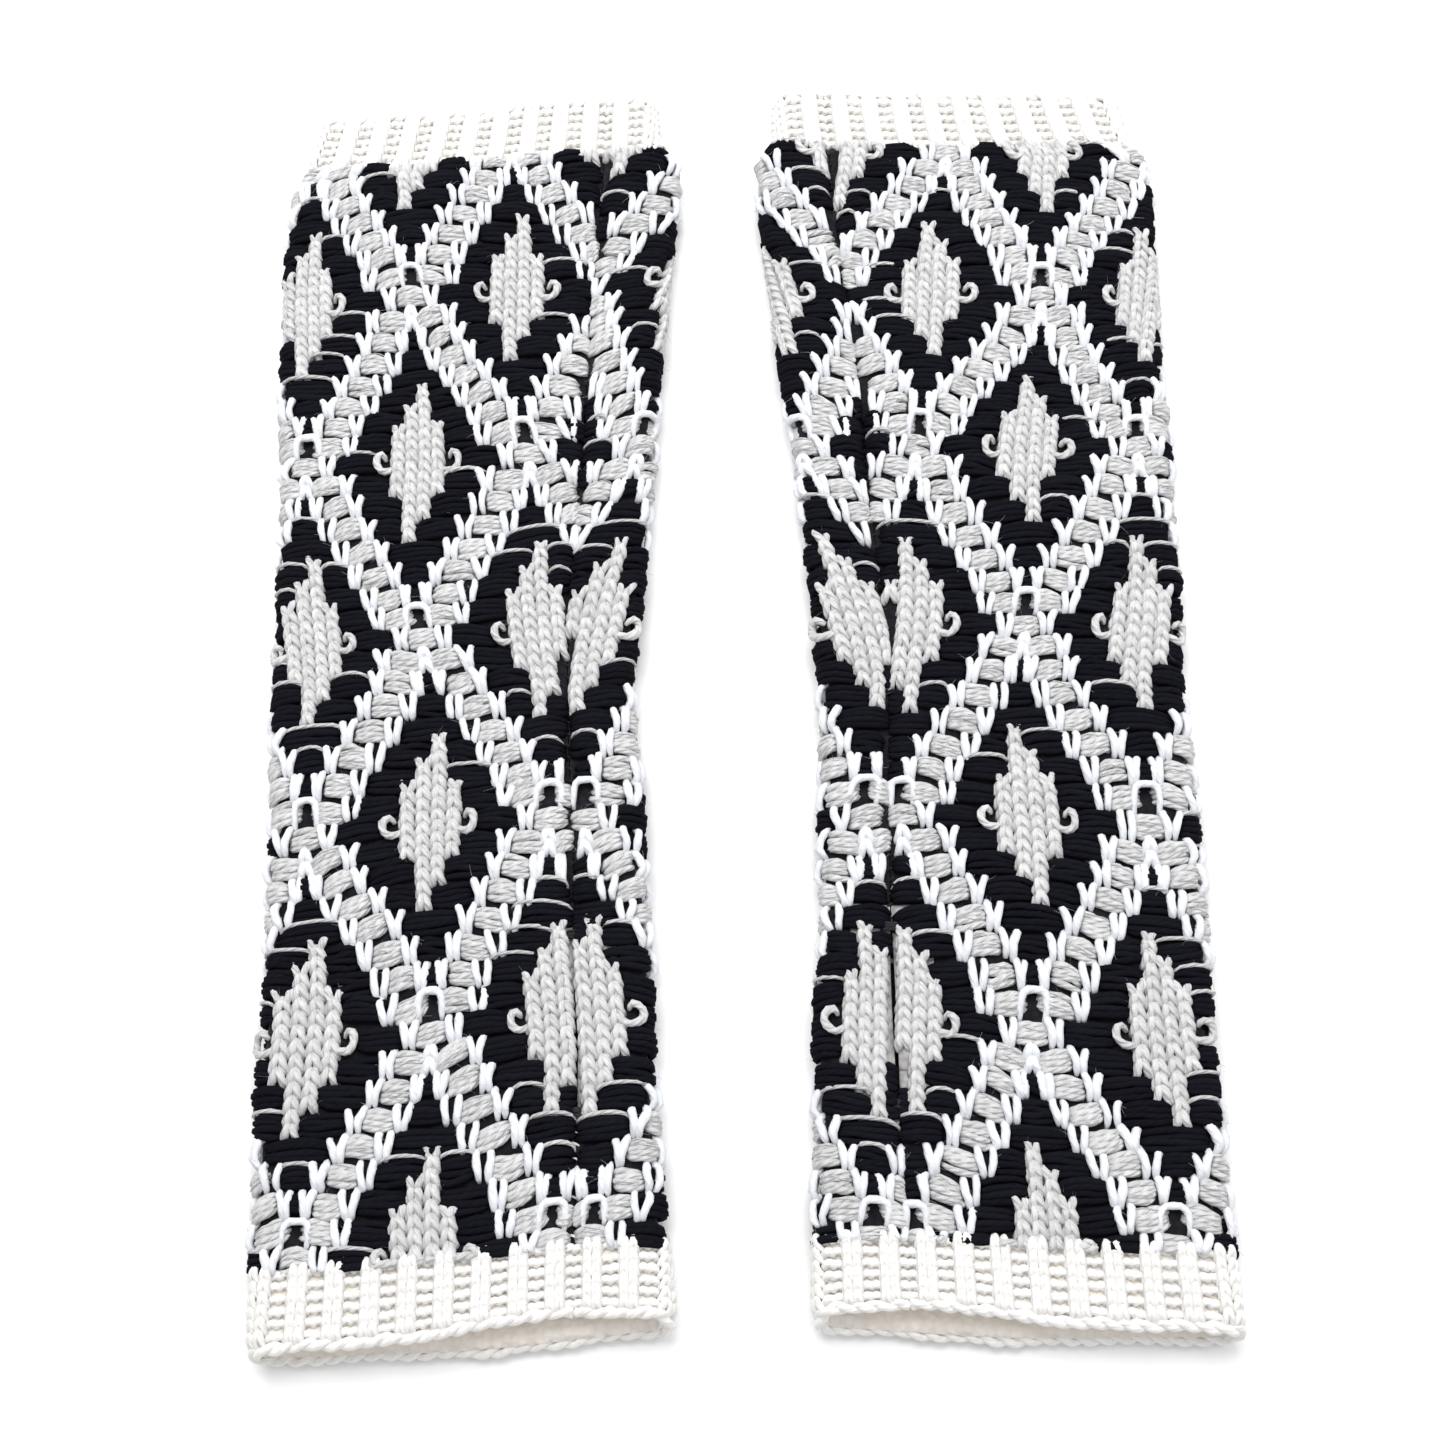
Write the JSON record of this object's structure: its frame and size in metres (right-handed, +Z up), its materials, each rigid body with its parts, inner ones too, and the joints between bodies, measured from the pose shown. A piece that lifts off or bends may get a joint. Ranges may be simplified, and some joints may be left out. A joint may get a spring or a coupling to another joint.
{
  "type": "fingerless gloves",
  "caption": "Pair of long knitted fingerless gloves, flat tubes with a diamond pattern, ribbed cuffs and a thumb slit in the side seam.",
  "frame": {"origin": "middle of the pair's box, on the plane it lies on", "axes": "+Z up, +Y from the hand ends to the arm ends, left glove at -X"},
  "size_m": [0.248, 0.346, 0.0129],
  "materials": {
    "patterned_knit": "black, light grey and white float-pattern knitting",
    "rib_knit": "cream two by two rib",
    "sewing_thread": "matt thread"
  },
  "bodies": {
    "left_hand": {"left_hand_edge": "rib_knit", "left_hand_cuff": "rib_knit", "left_hand_tube": "patterned_knit", "left_slit_tack_hand": "sewing_thread", "left_slit_tack_wrist": "sewing_thread", "left_cuff_seam": "sewing_thread", "left_hand_seam": "sewing_thread"},
    "left_forearm": {"left_wrist_band": "patterned_knit", "left_forearm_tube": "patterned_knit", "left_arm_cuff": "rib_knit", "left_arm_edge": "rib_knit", "left_wrist_seam": "sewing_thread", "left_forearm_seam": "sewing_thread"},
    "left_thumb_lip_inner": {"left_thumb_lip_inner": "patterned_knit"},
    "left_thumb_lip_outer": {"left_thumb_lip_outer": "patterned_knit"},
    "right_hand": {"right_hand_edge": "rib_knit", "right_hand_cuff": "rib_knit", "right_hand_tube": "patterned_knit", "right_slit_tack_hand": "sewing_thread", "right_slit_tack_wrist": "sewing_thread", "right_cuff_seam": "sewing_thread", "right_hand_seam": "sewing_thread"},
    "right_forearm": {"right_wrist_band": "patterned_knit", "right_forearm_tube": "patterned_knit", "right_arm_cuff": "rib_knit", "right_arm_edge": "rib_knit", "right_wrist_seam": "sewing_thread", "right_forearm_seam": "sewing_thread"},
    "right_thumb_lip_inner": {"right_thumb_lip_inner": "patterned_knit"},
    "right_thumb_lip_outer": {"right_thumb_lip_outer": "patterned_knit"}
  },
  "joints": [
    {"name": "left_wrist_bend", "type": "hinge", "parent": "left_forearm", "child": "left_hand", "pos_m": [-0.0695, -0.038, 0.006], "axis": [-1, 0, 0], "range_deg": [-70, 80], "deforming": ["left_wrist_band", "left_wrist_seam"]},
    {"name": "left_thumb_lip_inner_open", "type": "hinge", "parent": "left_hand", "child": "left_thumb_lip_inner", "pos_m": [-0.0322, -0.1, 0.012], "axis": [0, 1, 0], "range_deg": [0, 70]},
    {"name": "left_thumb_lip_outer_open", "type": "hinge", "parent": "left_hand", "child": "left_thumb_lip_outer", "pos_m": [-0.0448, -0.1, 0.012], "axis": [0, -1, 0], "range_deg": [0, 70]},
    {"name": "right_wrist_bend", "type": "hinge", "parent": "right_forearm", "child": "right_hand", "pos_m": [0.0695, -0.038, 0.006], "axis": [-1, 0, 0], "range_deg": [-70, 80], "deforming": ["right_wrist_band", "right_wrist_seam"]},
    {"name": "right_thumb_lip_inner_open", "type": "hinge", "parent": "right_hand", "child": "right_thumb_lip_inner", "pos_m": [0.0322, -0.1, 0.012], "axis": [0, -1, 0], "range_deg": [0, 70]},
    {"name": "right_thumb_lip_outer_open", "type": "hinge", "parent": "right_hand", "child": "right_thumb_lip_outer", "pos_m": [0.0448, -0.1, 0.012], "axis": [0, 1, 0], "range_deg": [0, 70]},
    {"name": "right_glove_lift", "type": "slide", "parent": "left_forearm", "child": "right_forearm", "axis": [0, 0, 1], "range_m": [0, 0.12]}
  ]
}
